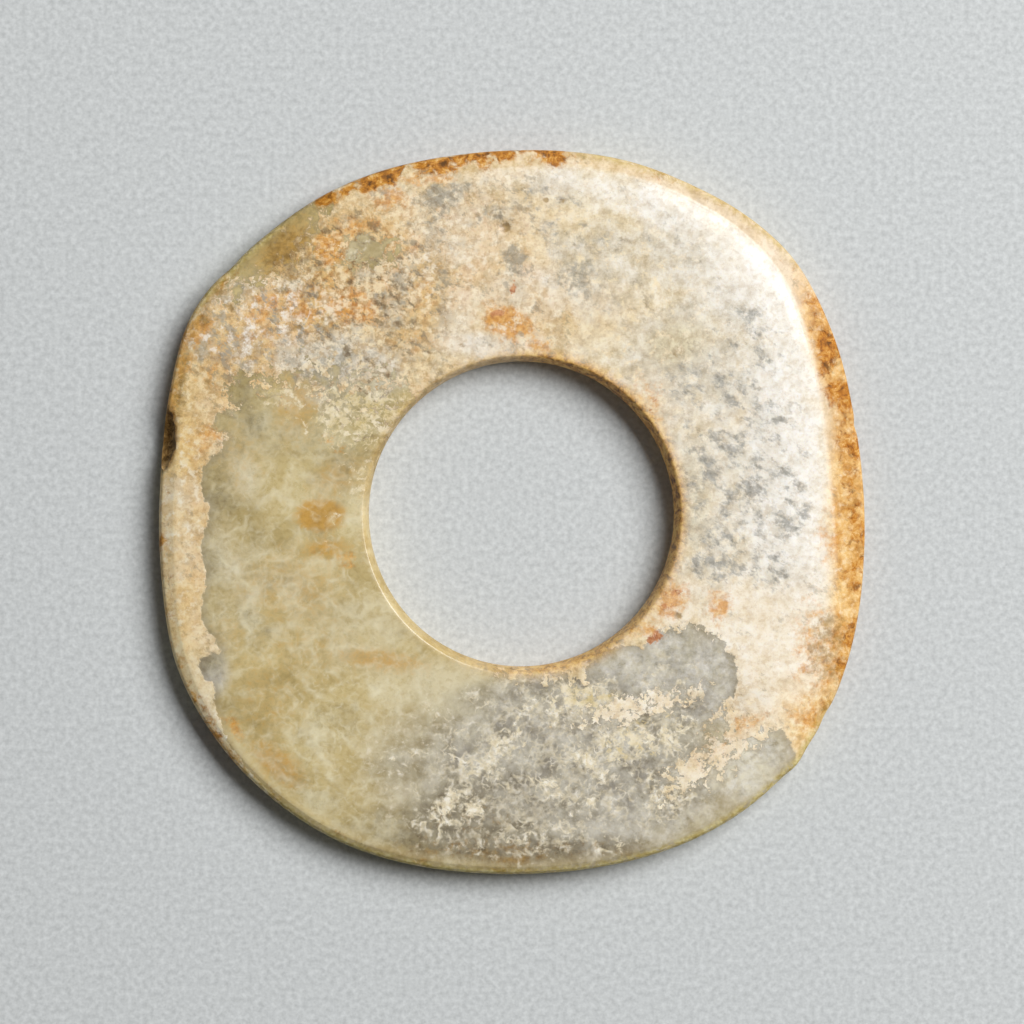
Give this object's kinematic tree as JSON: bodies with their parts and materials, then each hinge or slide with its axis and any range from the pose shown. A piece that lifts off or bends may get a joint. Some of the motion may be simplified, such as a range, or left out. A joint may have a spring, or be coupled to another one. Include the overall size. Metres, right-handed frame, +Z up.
{
  "type": "jade bi disc",
  "caption": "Flat rounded-square ring of weathered jade with a round hole and a rounded, bevelled rim, that lies on its flat underside.",
  "frame": {"origin": "the middle of the disc's bounding box, on the surface that it lies on; the hole's centre is 1.5 mm to the +X side of it", "axes": "+Z up out of the upper face, +Y along the longer way across, with the wide bevel on the +X side"},
  "size_m": [0.1148, 0.1178, 0.006],
  "materials": {
    "jade": "ground and polished nephrite with a cream weathering crust and iron stains"
  },
  "bodies": {
    "root": {"jade_disc": "jade"}
  },
  "joints": []
}
